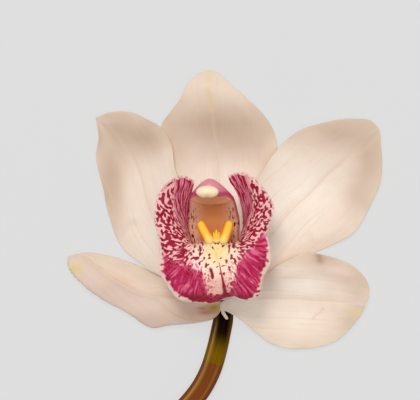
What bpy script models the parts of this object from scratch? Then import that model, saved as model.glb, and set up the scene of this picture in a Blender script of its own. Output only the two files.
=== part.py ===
"""A cut cymbidium bloom on its stalk, lying on its back, face up.

Up in the bloom's face is +Y, its right as seen is +X, and it faces +Z. The origin is at the middle of the
bounding box, on the surface that the bloom lies on. Lengths are in millimetres until they reach a mesh.
"""

import math

import bpy
import numpy as np

MM = 0.001

# Driving dimensions
SEPAL_THICKNESS = 1.0
PETAL_THICKNESS = 1.0
LIP_THICKNESS = 1.1
APEX_RADIUS = 5.0
APEX_TOP = 9.8
SEAT_GAP = 0.45
ORIGIN = (3.9, -6.5)

# The outlines below are as seen from above, at the height of the seen plane. A point higher than that plane looks
# larger than it is from the eye, so it is drawn in along its line of sight.
EYE_HEIGHT = 610.0
SEEN_PLANE = 10.0
SIGHT_AXIS = (-0.6, 10.5)

# Where the tepals, the lip and the column meet the ovary
APEX_CENTRE = (2.7, -14.8)
SEPAL_BASE_HEIGHT = 7.6
PETAL_BASE_HEIGHT = 9.5

# Steps along and across a tepal
TEPAL_ROWS = 15
TEPAL_COLUMNS = 7


def clear_scene():
    for thing in list(bpy.data.objects):
        bpy.data.objects.remove(thing, do_unlink=True)


def material(name, colour, roughness):
    made = bpy.data.materials.new(name)
    made.use_nodes = True
    shader = made.node_tree.nodes["Principled BSDF"]
    shader.inputs["Base Color"].default_value = (*colour, 1.0)
    shader.inputs["Roughness"].default_value = roughness
    shader.inputs["Metallic"].default_value = 0.0
    return made


def spline(points, places):
    """Points at the given places, 0 to 1 by length, on a smooth curve through the points."""
    points = np.asarray(points, float)
    steps = np.linalg.norm(np.diff(points, axis=0), axis=1)
    knots = np.concatenate([[0.0], np.cumsum(np.sqrt(steps))])
    slopes = np.gradient(points, knots, axis=0)
    along = np.linspace(0.0, knots[-1], 40 * len(points))
    index = np.clip(np.searchsorted(knots, along, side="right") - 1, 0, len(points) - 2)
    span = (knots[index + 1] - knots[index])[:, None]
    t = (along - knots[index])[:, None] / span
    fine = (
        (2 * t**3 - 3 * t**2 + 1) * points[index]
        + (t**3 - 2 * t**2 + t) * span * slopes[index]
        + (3 * t**2 - 2 * t**3) * points[index + 1]
        + (t**3 - t**2) * span * slopes[index + 1]
    )
    lengths = np.concatenate([[0.0], np.cumsum(np.linalg.norm(np.diff(fine, axis=0), axis=1))])
    wanted = np.asarray(places, float) * lengths[-1]
    return np.stack([np.interp(wanted, lengths, fine[:, k]) for k in range(fine.shape[1])], axis=1)


def from_seen(points):
    """The real places of points whose X and Y are as seen from the eye."""
    points = np.array(points, float)
    scale = (EYE_HEIGHT - points[..., 2:]) / (EYE_HEIGHT - SEEN_PLANE)
    axis = np.array(SIGHT_AXIS)
    points[..., :2] = axis + (points[..., :2] - axis) * scale
    return points


def around_apex(degrees, height, radius=APEX_RADIUS + SEAT_GAP):
    """A point on the ring where a tepal meets the side of the ovary's apex, undone for the eye's view."""
    angle = math.radians(degrees)
    scale = (EYE_HEIGHT - SEEN_PLANE) / (EYE_HEIGHT - height)
    x = APEX_CENTRE[0] + radius * math.cos(angle)
    y = APEX_CENTRE[1] + radius * math.sin(angle)
    return (
        SIGHT_AXIS[0] + (x - SIGHT_AXIS[0]) * scale,
        SIGHT_AXIS[1] + (y - SIGHT_AXIS[1]) * scale,
        height,
    )


def mesh_object(name, points, faces, finish):
    mesh = bpy.data.meshes.new(name)
    placed = np.array(points, float)
    placed[:, 0] -= ORIGIN[0]
    placed[:, 1] -= ORIGIN[1]
    mesh.from_pydata((placed * MM).tolist(), [], faces)
    mesh.update()
    mesh.materials.append(finish)
    mesh.shade_smooth()
    mesh.set_sharp_from_angle(angle=math.radians(50))
    made = bpy.data.objects.new(name, mesh)
    bpy.context.scene.collection.objects.link(made)
    return made


def thicken(sheet, thickness):
    """Gives an open sheet its thickness, half to each side, so that it is one closed body."""
    modifier = sheet.modifiers.new("thickness", "SOLIDIFY")
    modifier.thickness = thickness * MM
    modifier.offset = 0.0
    return sheet


def tepal(name, ribs, thickness, finish):
    """A sheet over ribs that all run from the base to one tip. Each rib is a list of points as seen."""
    along = np.linspace(0.0, 1.0, TEPAL_ROWS)
    across = np.linspace(0.0, 1.0, TEPAL_COLUMNS)
    curves = np.array([spline(rib, along) for rib in ribs])
    rows = [from_seen(spline(curves[:, k], across)) for k in range(TEPAL_ROWS - 1)]
    tip = from_seen(curves[:, -1].mean(axis=0))
    points = np.concatenate([*rows, tip[None, :]])
    faces = []
    for row in range(TEPAL_ROWS - 2):
        for column in range(TEPAL_COLUMNS - 1):
            first = row * TEPAL_COLUMNS + column
            above = first + TEPAL_COLUMNS
            faces.append((first, above, above + 1, first + 1))
    last = (TEPAL_ROWS - 2) * TEPAL_COLUMNS
    for column in range(TEPAL_COLUMNS - 1):
        faces.append((last + column, len(points) - 1, last + column + 1))
    return thicken(mesh_object(name, points, faces, finish), thickness)


def dorsal_sepal(finish):
    """The upright sepal: its base leans back to the surface, its middle arches forward and its tip bends back."""
    tip = (-0.9, 49.5, 5.2)
    left = [
        around_apex(114, SEPAL_BASE_HEIGHT),
        (-6.6, 4.5, 4.6),
        (-11.6, 14.0, 2.4),
        (-14.6, 21.6, 1.7),
        (-15.7, 28.4, 2.2),
        (-14.9, 33.2, 3.8),
        (-11.7, 37.8, 5.4),
        (-9.3, 41.1, 6.1),
        (-7.3, 45.0, 6.2),
        (-3.6, 48.6, 5.6),
        tip,
    ]
    middle = [
        around_apex(92, SEPAL_BASE_HEIGHT),
        (2.5, 2.0, 4.4),
        (2.3, 12.0, 1.6),
        (2.1, 21.0, 0.5),
        (1.4, 30.0, 1.9),
        (0.4, 37.5, 4.6),
        (-0.5, 44.0, 6.3),
        tip,
    ]
    right = [
        around_apex(70, SEPAL_BASE_HEIGHT),
        (10.5, 4.5, 4.6),
        (15.8, 14.0, 2.4),
        (18.7, 21.0, 1.6),
        (19.4, 27.0, 2.2),
        (17.9, 32.2, 3.8),
        (14.4, 37.2, 5.4),
        (9.6, 41.7, 6.1),
        (5.2, 45.5, 6.2),
        (2.1, 48.6, 5.6),
        tip,
    ]
    return tepal("dorsal_sepal", [left, middle, right], SEPAL_THICKNESS, finish)


def left_petal(finish):
    tip = (-34.8, 35.3, 5.6)
    upper = [
        around_apex(116, PETAL_BASE_HEIGHT),
        (-5.1, 3.0, 8.8),
        (-8.6, 11.5, 7.2),
        (-11.2, 20.0, 5.8),
        (-12.4, 27.6, 5.6),
        (-15.1, 32.0, 6.3),
        (-19.5, 34.6, 7.2),
        (-25.0, 36.7, 7.4),
        (-30.6, 36.8, 6.6),
        tip,
    ]
    middle = [
        around_apex(136, PETAL_BASE_HEIGHT),
        (-10.5, -1.0, 6.4),
        (-19.0, 9.6, 2.4),
        (-25.3, 18.0, 0.5),
        (-30.4, 27.0, 2.2),
        tip,
    ]
    lower = [
        around_apex(158, PETAL_BASE_HEIGHT),
        (-9.0, -12.6, 8.4),
        (-15.9, -11.7, 6.9),
        (-22.5, -7.6, 5.0),
        (-27.2, -3.2, 3.6),
        (-30.3, 4.2, 3.0),
        (-32.6, 14.2, 3.2),
        (-34.5, 23.0, 4.0),
        (-33.9, 29.7, 5.0),
        tip,
    ]
    return tepal("left_petal", [upper, middle, lower], PETAL_THICKNESS, finish)


def right_petal(finish):
    tip = (50.3, 31.6, 5.4)
    upper = [
        around_apex(66, PETAL_BASE_HEIGHT),
        (8.4, 3.6, 8.6),
        (12.2, 12.0, 7.0),
        (15.9, 20.4, 5.6),
        (20.2, 26.2, 5.6),
        (26.3, 31.2, 6.4),
        (33.6, 33.6, 7.2),
        (42.0, 34.8, 7.2),
        (47.6, 34.2, 6.2),
        tip,
    ]
    middle = [
        around_apex(44, PETAL_BASE_HEIGHT),
        (12.4, -3.2, 6.4),
        (20.0, 3.4, 3.2),
        (27.6, 9.8, 1.0),
        (34.6, 15.2, 0.5),
        (42.4, 22.0, 1.9),
        tip,
    ]
    lower = [
        around_apex(24, PETAL_BASE_HEIGHT),
        (12.4, -11.4, 6.2),
        (18.4, -12.0, 3.4),
        (24.6, -9.2, 2.0),
        (30.4, -5.5, 1.6),
        (36.6, -2.7, 2.0),
        (42.3, 0.6, 2.8),
        (47.1, 8.2, 3.6),
        (50.4, 16.0, 4.4),
        (51.0, 22.0, 5.0),
        (50.6, 28.2, 5.4),
        tip,
    ]
    return tepal("right_petal", [upper, middle, lower], PETAL_THICKNESS, finish)


def left_lateral_sepal(finish):
    """Its lower margin rolls forward and inwards, so its back shows from the tip to near the stalk."""
    tip = (-43.0, -6.6, 6.4)
    upper = [
        around_apex(164, SEPAL_BASE_HEIGHT),
        (-8.0, -15.4, 5.4),
        (-15.6, -12.4, 3.9),
        (-22.2, -9.3, 2.6),
        (-30.3, -6.6, 3.6),
        (-38.0, -5.5, 5.4),
        tip,
    ]
    channel = [
        around_apex(210, SEPAL_BASE_HEIGHT),
        (-7.6, -19.6, 3.6),
        (-15.0, -19.0, 1.2),
        (-22.5, -16.0, 0.5),
        (-30.0, -12.6, 1.6),
        (-37.4, -8.6, 4.2),
        tip,
    ]
    bottom = [
        around_apex(262, SEPAL_BASE_HEIGHT + 0.2),
        (0.3, -24.6, 7.3),
        (-6.8, -26.2, 5.0),
        (-13.0, -26.6, 3.4),
        (-18.0, -27.3, 3.0),
        (-24.3, -23.4, 3.4),
        (-33.6, -18.2, 4.0),
        (-39.4, -13.6, 4.8),
        (-42.6, -9.6, 5.8),
        tip,
    ]
    rim = [
        around_apex(264, SEPAL_BASE_HEIGHT + 0.4),
        (0.5, -24.5, 7.7),
        (-6.6, -25.8, 6.6),
        (-12.0, -23.8, 7.2),
        (-16.2, -19.2, 8.0),
        (-23.0, -17.1, 8.2),
        (-31.2, -12.3, 8.0),
        (-36.4, -8.2, 7.6),
        (-40.0, -6.2, 7.0),
        tip,
    ]
    return tepal("left_lateral_sepal", [upper, channel, bottom, rim], SEPAL_THICKNESS, finish)


def right_lateral_sepal(finish):
    tip = (45.8, -21.6, 3.8)
    upper = [
        around_apex(20, SEPAL_BASE_HEIGHT),
        (12.0, -13.9, 5.8),
        (16.6, -12.8, 5.4),
        (20.7, -9.0, 5.4),
        (25.6, -6.3, 5.2),
        (30.4, -5.5, 4.9),
        (36.8, -7.0, 4.6),
        (42.9, -9.9, 4.6),
        (46.6, -14.4, 4.5),
        (47.1, -18.2, 4.2),
        tip,
    ]
    middle = [
        around_apex(-30, SEPAL_BASE_HEIGHT),
        (11.6, -18.0, 5.2),
        (20.4, -19.6, 2.0),
        (28.8, -21.6, 0.5),
        (37.4, -22.4, 1.2),
        tip,
    ]
    lower = [
        around_apex(-82, SEPAL_BASE_HEIGHT + 0.2),
        (4.4, -23.0, 7.6),
        (8.7, -25.5, 6.6),
        (13.4, -29.2, 4.9),
        (18.4, -32.7, 3.7),
        (24.0, -34.0, 3.1),
        (31.5, -33.6, 2.8),
        (37.8, -31.3, 2.8),
        (42.4, -26.8, 3.2),
        (44.9, -23.4, 3.6),
        tip,
    ]
    return tepal("right_lateral_sepal", [upper, middle, lower], SEPAL_THICKNESS, finish)


def lip(finish):
    """The labellum. Five guides run round it from its left back edge to its right back edge, and lines from the
    deep base out to the margin cross them, as its veins do."""
    rows = 33
    columns = 9
    base = [
        (-1.2, -14.6, 11.0),
        (0.2, -17.4, 11.0),
        (2.7, -18.6, 11.0),
        (5.2, -17.4, 11.0),
        (6.6, -14.6, 11.0),
    ]
    sill = [
        (-7.2, -7.0, 16.6),
        (-5.0, -4.6, 21.0),
        (1.2, -1.2, 25.6),
        (7.2, -4.6, 21.0),
        (8.8, -7.0, 16.6),
    ]
    throat = [
        (-8.1, 1.5, 22.0),
        (-7.0, -1.6, 25.0),
        (-4.2, -3.6, 29.0),
        (1.0, -4.6, 31.4),
        (6.0, -3.6, 29.0),
        (8.6, -1.4, 25.0),
        (9.4, 2.0, 22.0),
    ]
    middle = [
        (-7.7, 10.0, 25.6),
        (-9.6, 10.6, 27.0),
        (-12.0, 6.0, 28.2),
        (-11.6, 0.4, 29.2),
        (-10.4, -5.6, 31.6),
        (-6.4, -10.4, 33.6),
        (1.0, -12.2, 34.6),
        (7.6, -10.4, 33.6),
        (11.6, -5.0, 31.6),
        (12.6, 0.6, 29.2),
        (13.2, 6.6, 28.2),
        (11.0, 11.2, 27.0),
        (8.4, 10.6, 25.6),
    ]
    margin = [
        (-6.0, 16.2, 27.0),
        (-8.2, 17.5, 28.4),
        (-12.3, 16.5, 29.8),
        (-15.9, 12.0, 30.6),
        (-17.1, 5.0, 30.8),
        (-15.7, -2.9, 29.6),
        (-16.2, -7.8, 29.4),
        (-14.1, -14.7, 29.0),
        (-8.8, -19.6, 28.6),
        (-1.2, -20.4, 28.6),
        (6.6, -18.7, 28.8),
        (11.6, -19.8, 28.6),
        (14.4, -18.0, 28.8),
        (15.2, -13.2, 29.2),
        (17.9, -7.2, 29.4),
        (16.5, 0.6, 29.6),
        (18.3, 7.6, 30.8),
        (16.2, 12.9, 30.6),
        (11.4, 17.7, 29.8),
        (7.6, 18.4, 28.4),
        (4.8, 17.6, 27.0),
    ]
    around = np.linspace(0.0, 1.0, rows)
    outwards = np.linspace(0.0, 1.0, columns)
    guides = np.array([spline(guide, around) for guide in (base, sill, throat, middle, margin)])
    points = np.concatenate([from_seen(spline(guides[:, k], outwards)) for k in range(rows)])
    faces = []
    for row in range(rows - 1):
        for column in range(columns - 1):
            first = row * columns + column
            above = first + columns
            faces.append((first, first + 1, above + 1, above))
    return thicken(mesh_object("lip", points, faces, finish), LIP_THICKNESS)


def loft(name, rings, finish):
    """A closed body through rings of points, each with the same count, with a flat face at each end."""
    count = len(rings[0])
    points = np.concatenate(rings)
    faces = [tuple(reversed(range(count)))]
    for ring in range(len(rings) - 1):
        for k in range(count):
            nearby = ring * count + k
            beside = ring * count + (k + 1) % count
            faces.append((nearby, beside, beside + count, nearby + count))
    start = (len(rings) - 1) * count
    faces.append(tuple(range(start, start + count)))
    return mesh_object(name, points, faces, finish)


def directions(path):
    """The unit vector along a path at each of its points."""
    forward = np.gradient(path, axis=0)
    return forward / np.linalg.norm(forward, axis=1)[:, None]


def column(finish):
    """The fused column: rounded behind, hollow in front, arching up over the throat to its hood."""
    stations = 18
    back_steps = 10
    front_steps = 6
    wing_rise = 0.9
    back_roundness = 1.8
    places = np.linspace(0.0, 1.0, stations)
    axis = spline(
        [
            (2.7, -13.2, 10.5),
            (2.7, -13.1, 12.6),
            (2.4, -8.8, 15.6),
            (0.9, -1.4, 18.6),
            (0.4, 4.6, 22.4),
            (0.1, 9.4, 28.2),
            (-0.4, 11.9, 31.8),
            (-0.7, 12.5, 33.6),
            (-0.9, 12.4, 35.0),
        ],
        places,
    )
    half_width = np.interp(
        places, [0.0, 0.2, 0.42, 0.6, 0.78, 0.9, 0.96, 1.0], [2.6, 4.4, 7.2, 7.6, 7.1, 6.7, 5.2, 3.0]
    )
    depth = np.interp(places, [0.0, 0.3, 0.6, 0.78, 0.9, 0.96, 1.0], [2.4, 3.0, 3.6, 4.2, 5.2, 4.6, 2.8])
    hollow = np.interp(places, [0.0, 0.3, 0.6, 0.85, 1.0], [0.0, 0.8, 1.4, 0.5, 0.0])
    forward = directions(axis)
    rings = []
    for k in range(stations):
        front = np.cross(forward[k], (-1.0, 0.0, 0.0))
        front /= np.linalg.norm(front)
        ring = []
        for step in range(back_steps + 1):
            angle = math.pi * step / back_steps
            share = math.cos(angle)
            across = half_width[k] * share
            behind = depth[k] * (1.0 - abs(share) ** back_roundness)
            ring.append(axis[k] + np.array([across, 0, 0]) - front * behind)
        for step in range(1, front_steps):
            share = -1.0 + 2.0 * step / front_steps
            across = half_width[k] * share
            rise = wing_rise - (wing_rise + hollow[k]) * (1.0 - share * share)
            ring.append(axis[k] + np.array([across, 0, 0]) + front * rise)
        rings.append(from_seen(np.array(ring)))
    return loft("column", rings, finish)


def anther_cap(finish):
    """The cream cap, two rounded lobes side by side, seated under the hood."""
    centre = np.array([-1.4, 12.9, 37.1])
    half_width = 3.4
    half_height = 1.9
    half_depth = 1.5
    notch_depth = 0.5
    notch_width = 0.8
    sides = 20
    rings = []
    for latitude in np.linspace(-80, 80, 9):
        level = math.sin(math.radians(latitude))
        reach = math.cos(math.radians(latitude))
        ring = []
        for step in range(sides):
            angle = 2 * math.pi * step / sides
            x = half_width * reach * math.cos(angle)
            y = half_height * reach * math.sin(angle)
            notch = notch_depth * math.exp(-((x / notch_width) ** 2)) if y < 0 else 0.0
            ring.append(centre + np.array([x, y * (1 - notch), half_depth * level]))
        rings.append(from_seen(np.array(ring)))
    return loft("anther_cap", rings, finish)


def flower_stalk(finish):
    """The ovary and its pedicel in one piece: from the apex that carries the bloom, down behind it, along the
    surface and on to the cut end."""
    path = [
        (2.7, -14.8, APEX_TOP),
        (2.7, -14.9, 7.2),
        (2.75, -16.0, 4.5),
        (3.0, -20.2, 3.2),
        (3.4, -24.6, 3.1),
        (2.6, -29.3, 3.1),
        (1.35, -34.8, 3.2),
        (-0.4, -40.4, 3.3),
        (-3.0, -45.6, 3.3),
        (-6.8, -50.6, 3.3),
        (-11.6, -55.4, 3.3),
        (-17.0, -59.4, 3.3),
    ]
    stations = 26
    sides = 16
    ribs = 6
    rib_height = 0.02
    places = np.linspace(0.0, 1.0, stations)
    axis = from_seen(spline(path, places))
    forward = directions(axis)
    radius = np.interp(places, [0.0, 0.05, 0.1, 0.16, 0.5, 1.0], [APEX_RADIUS, 4.8, 3.8, 3.0, 3.2, 3.3])
    rings = []
    side = np.array([1.0, 0.0, 0.0])
    for k in range(stations):
        side = side - forward[k] * (side @ forward[k])
        side /= np.linalg.norm(side)
        other = np.cross(forward[k], side)
        ring = []
        for step in range(sides):
            angle = 2 * math.pi * step / sides
            rib = 1.0 + rib_height * math.cos(ribs * angle)
            ring.append(axis[k] + radius[k] * rib * (side * math.cos(angle) + other * math.sin(angle)))
        rings.append(np.array(ring))
    return loft("flower_stalk", rings, finish)


def build():
    clear_scene()
    sepal = material("sepal", (0.82, 0.70, 0.58), 0.55)
    petal = material("petal", (0.84, 0.72, 0.62), 0.55)
    labellum = material("lip", (0.62, 0.16, 0.30), 0.5)
    pink = material("column", (0.62, 0.28, 0.22), 0.45)
    cream = material("anther_cap", (0.86, 0.74, 0.52), 0.4)
    stalk = material("stalk", (0.16, 0.13, 0.04), 0.4)
    flower_stalk(stalk)
    dorsal_sepal(sepal)
    left_lateral_sepal(sepal)
    right_lateral_sepal(sepal)
    left_petal(petal)
    right_petal(petal)
    lip(labellum)
    column(pink)
    anther_cap(cream)


build()
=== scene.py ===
"""A cut cymbidium bloom lying face up on a pale surface.

Outlines are in millimetres, in the bloom's own plane: up in its face is +Y, its right as seen is +X, and it
faces +Z. They become metres in the frame's place when a mesh is made.
"""

import math

import bmesh
import bpy
import numpy as np
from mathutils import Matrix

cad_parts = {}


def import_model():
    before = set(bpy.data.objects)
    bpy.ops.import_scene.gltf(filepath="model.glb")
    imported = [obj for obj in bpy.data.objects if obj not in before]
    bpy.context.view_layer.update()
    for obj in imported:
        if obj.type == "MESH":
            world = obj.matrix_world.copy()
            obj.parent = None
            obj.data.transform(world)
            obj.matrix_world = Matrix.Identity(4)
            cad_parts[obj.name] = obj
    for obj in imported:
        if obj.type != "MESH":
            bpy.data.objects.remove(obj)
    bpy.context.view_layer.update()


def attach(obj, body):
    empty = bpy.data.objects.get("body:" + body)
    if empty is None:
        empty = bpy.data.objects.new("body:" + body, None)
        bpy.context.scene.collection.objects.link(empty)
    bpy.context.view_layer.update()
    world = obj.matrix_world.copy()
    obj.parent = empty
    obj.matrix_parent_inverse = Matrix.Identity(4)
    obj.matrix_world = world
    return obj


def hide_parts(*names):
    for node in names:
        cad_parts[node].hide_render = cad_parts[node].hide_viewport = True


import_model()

MM = 0.001
BODY = "root"

# The bloom's place in the frame, and the eye that its outlines are seen from
ORIGIN = (3.9, -6.5)
EYE_HEIGHT = 610.0
SEEN_PLANE = 10.0
SIGHT_AXIS = (-0.6, 10.5)
VIEW_WIDTH = 126.0
SENSOR_WIDTH = 36.0

# The ovary's apex, where the tepals, the lip and the column are joined
APEX_CENTRE = (2.7, -14.8)
APEX_RADIUS = 5.0
APEX_TOP = 9.8
SEAT_GAP = 0.45
SEPAL_FOOT = 7.6
PETAL_FOOT = 9.5
FLOOR_CLEARANCE = 0.02

# A distance past anything here, a length too short to divide by, how many waves make a smooth noise, and how
# many steps a curve takes for each of its points
FAR = 1e9
TINY = 1e-9
WAVE_COUNT = 28
CURVE_STEPS = 40

# How finely the surfaces are made, where a tepal's last row stops short of its tip, and how far a sheet's
# edge is rounded out, as a share of half its thickness
TEPAL_ROWS = 150
TEPAL_COLUMNS = 96
TIP_PLACE = 0.997
EDGE_CROWDING = 0.75
EDGE_ROUNDING = 0.9
LIP_ROWS = 401
LIP_COLUMNS = 111


# Curves and fields


def spline(points, places):
    """Points at the given places, 0 to 1 by length, on a smooth curve through the points."""
    points = np.asarray(points, float)
    steps = np.linalg.norm(np.diff(points, axis=0), axis=1)
    knots = np.concatenate([[0.0], np.cumsum(np.sqrt(steps))])
    slopes = np.gradient(points, knots, axis=0)
    along = np.linspace(0.0, knots[-1], CURVE_STEPS * len(points))
    index = np.clip(np.searchsorted(knots, along, side="right") - 1, 0, len(points) - 2)
    span = (knots[index + 1] - knots[index])[:, None]
    t = (along - knots[index])[:, None] / span
    fine = (
        (2 * t**3 - 3 * t**2 + 1) * points[index]
        + (t**3 - 2 * t**2 + t) * span * slopes[index]
        + (3 * t**2 - 2 * t**3) * points[index + 1]
        + (t**3 - t**2) * span * slopes[index + 1]
    )
    lengths = np.concatenate([[0.0], np.cumsum(np.linalg.norm(np.diff(fine, axis=0), axis=1))])
    wanted = np.asarray(places, float) * lengths[-1]
    return np.stack([np.interp(wanted, lengths, fine[:, k]) for k in range(fine.shape[1])], axis=1)


def from_seen(points):
    """The real places of points whose X and Y are as seen from the eye."""
    points = np.array(points, float)
    scale = (EYE_HEIGHT - points[..., 2:]) / (EYE_HEIGHT - SEEN_PLANE)
    axis = np.array(SIGHT_AXIS)
    points[..., :2] = axis + (points[..., :2] - axis) * scale
    return points


def around_apex(degrees, height):
    """A point on the ring where a tepal meets the side of the ovary's apex, undone for the eye's view."""
    angle = math.radians(degrees)
    radius = APEX_RADIUS + SEAT_GAP
    scale = (EYE_HEIGHT - SEEN_PLANE) / (EYE_HEIGHT - height)
    x = APEX_CENTRE[0] + radius * math.cos(angle)
    y = APEX_CENTRE[1] + radius * math.sin(angle)
    return (
        SIGHT_AXIS[0] + (x - SIGHT_AXIS[0]) * scale,
        SIGHT_AXIS[1] + (y - SIGHT_AXIS[1]) * scale,
        height,
    )


def smooth_interp(value, places, heights):
    """Like a straight interpolation between the heights at the places, with its corners rounded off."""
    steps, reach = 401, 12
    fine = np.linspace(places[0], places[-1], steps)
    line = np.interp(fine, places, heights)
    before = 2 * line[0] - line[reach:0:-1]
    after = 2 * line[-1] - line[-2 : -reach - 2 : -1]
    padded = np.concatenate([before, line, after])
    weights = np.hanning(2 * reach + 3)[1:-1]
    rounded = np.convolve(padded, weights / weights.sum(), mode="valid")
    return np.interp(value, fine, rounded)


def ease(low, high, value):
    """0 before low and 1 past high, with a smooth rise between them."""
    share = np.clip((value - low) / (high - low), 0.0, 1.0)
    return share * share * (3.0 - 2.0 * share)


def hump(value, centre, width):
    """1 at the centre, falling away smoothly on both sides."""
    return np.exp(-(((value - centre) / width) ** 2))


def waves(x, y, wavelength, seed):
    """Smooth noise of about that wavelength and a spread of one, from waves in many directions."""
    draw = np.random.default_rng(seed)
    total = np.zeros(np.shape(x))
    for _ in range(WAVE_COUNT):
        angle = draw.uniform(0.0, 2.0 * math.pi)
        number = 2.0 * math.pi / (wavelength * draw.uniform(0.7, 1.6))
        phase = draw.uniform(0.0, 2.0 * math.pi)
        total += np.cos(number * (x * math.cos(angle) + y * math.sin(angle)) + phase)
    return total * math.sqrt(2.0 / WAVE_COUNT)


def patches_over(x, y, patches):
    """Overlapping soft ovals, each a middle, two half widths and a strength."""
    clear = np.ones(np.shape(x))
    for middle_x, middle_y, half_x, half_y, strength in patches:
        reach = ((x - middle_x) / half_x) ** 2 + ((y - middle_y) / half_y) ** 2
        clear *= 1.0 - strength * np.exp(-reach)
    return 1.0 - clear


def beside_line(x, y, points):
    """Each point's distance from a line through points, and its side: 1 on the right, going along it."""
    nearest = np.full(np.shape(x), FAR)
    side = np.zeros(np.shape(x))
    for (x0, y0), (x1, y1) in zip(points[:-1], points[1:]):
        dx, dy = x1 - x0, y1 - y0
        share = np.clip(((x - x0) * dx + (y - y0) * dy) / (dx * dx + dy * dy), 0.0, 1.0)
        gap = np.hypot(x - x0 - share * dx, y - y0 - share * dy)
        turn = np.sign((x - x0) * dy - (y - y0) * dx)
        side = np.where(gap < nearest, turn, side)
        nearest = np.minimum(nearest, gap)
    return nearest, side


def line_gap(x, y, points):
    return beside_line(x, y, points)[0]


def stroke_side(x, y, points):
    nearest, side = beside_line(x, y, points)
    return nearest * side


def unit(vectors):
    """Vectors along the last axis, each made one long."""
    return vectors / np.maximum(np.linalg.norm(vectors, axis=-1, keepdims=True), TINY)


def full_turn(sides):
    return np.linspace(0.0, 2.0 * math.pi, sides, endpoint=False)


def lengths_along(points, axis):
    """Running length of a grid of points along one of its two directions."""
    steps = np.linalg.norm(np.diff(points, axis=axis), axis=2)
    pad = [(0, 0), (0, 0)]
    pad[axis] = (1, 0)
    return np.pad(np.cumsum(steps, axis=axis), pad)


# Meshes


def grid_normals(points):
    """Unit normals of a grid of points, towards the side that faces up on the whole."""
    down_rows = np.gradient(points, axis=0)
    down_columns = np.gradient(points, axis=1)
    normals = unit(np.cross(down_rows, down_columns))
    return normals if normals[..., 2].mean() > 0 else -normals


def grid_faces(rows, columns, closed=False):
    """Four-sided faces over a grid of vertices. closed joins the last column to the first."""
    row = np.arange(rows - 1)[:, None]
    column = np.arange(columns if closed else columns - 1)[None, :]
    beside = (column + 1) % columns
    here, below = row * columns, (row + 1) * columns
    corners = [here + column, below + column, below + beside, here + beside]
    return np.stack(corners, axis=2).reshape(-1, 4)


def make_object(name, points, faces, fields, finish, slot, nodes):
    """A smooth mesh in the frame's place, with its fields as vertex attributes, riding on the body."""
    points = np.array(points, float)
    points[:, :2] -= ORIGIN
    points[:, 2] = np.maximum(points[:, 2], FLOOR_CLEARANCE)
    mesh = bpy.data.meshes.new(name)
    mesh.from_pydata((points * MM).tolist(), [], [list(face) for face in faces])
    mesh.update()
    shell = bmesh.new()
    shell.from_mesh(mesh)
    bmesh.ops.recalc_face_normals(shell, faces=shell.faces)
    shell.to_mesh(mesh)
    shell.free()
    for field, values in fields.items():
        attribute = mesh.attributes.new(field, "FLOAT", "POINT")
        attribute.data.foreach_set("value", np.asarray(values, np.float32).ravel())
    mesh.materials.append(finish)
    mesh.shade_smooth()
    piece = bpy.data.objects.new(name, mesh)
    bpy.context.scene.collection.objects.link(piece)
    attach(piece, BODY)
    if nodes:
        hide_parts(*nodes)
    return piece


def sheet_parts(centre, thickness, fields):
    """Points, faces and fields of a thin closed sheet about its middle surface, with a rounded edge."""
    rows, columns = centre.shape[:2]
    normals = grid_normals(centre)
    half = thickness[..., None] / 2.0
    ring = [(0, c) for c in range(columns)]
    ring += [(r, columns - 1) for r in range(1, rows)]
    ring += [(rows - 1, c) for c in range(columns - 2, -1, -1)]
    ring += [(r, 0) for r in range(rows - 2, 0, -1)]
    row, column = np.array(ring).T
    edge = centre[row, column]
    outward = unit(edge - centre[np.clip(row, 1, rows - 2), np.clip(column, 1, columns - 2)])
    rim = edge + outward * half[row, column] * EDGE_ROUNDING
    count = rows * columns
    upper, lower = centre + normals * half, centre - normals * half
    points = np.concatenate([upper.reshape(-1, 3), lower.reshape(-1, 3), rim])
    front = grid_faces(rows, columns)
    back = front + count
    at_front = row * columns + column
    at_rim = 2 * count + np.arange(len(ring))
    after_front = np.roll(at_front, -1)
    after_rim = np.roll(at_rim, -1)
    front_rim = np.stack([at_front, at_rim, after_rim, after_front], axis=1)
    back_rim = np.stack([at_rim, at_front + count, after_front + count, after_rim], axis=1)
    faces = np.concatenate([front, back, front_rim, back_rim])
    made = {}
    for name, values in fields.items():
        made[name] = np.concatenate([values.ravel(), values.ravel(), values[row, column]])
    made["back"] = np.concatenate([np.zeros(count), np.ones(count), np.full(len(ring), 0.5)])
    return points, faces, made


def ring_body(rings, fields):
    """Points, faces and fields of a closed body through rings of points, with a fan of faces at each end. A
    field that is the same all along the rings, or all round them, is given once."""
    stations, sides = rings.shape[:2]
    points = np.concatenate([rings.reshape(-1, 3), rings[:1].mean(axis=1), rings[-1:].mean(axis=1)])
    faces = [list(face) for face in grid_faces(stations, sides, closed=True)[:, ::-1]]
    first, last = stations * sides, stations * sides + 1
    start = (stations - 1) * sides
    for k in range(sides):
        beside = (k + 1) % sides
        faces.append([first, beside, k])
        faces.append([last, start + k, start + beside])
    made = {}
    for name, values in fields.items():
        values = np.broadcast_to(values, (stations, sides))
        made[name] = np.concatenate([values.ravel(), [values[0].mean()], [values[-1].mean()]])
    return points, faces, made


# Materials


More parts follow.
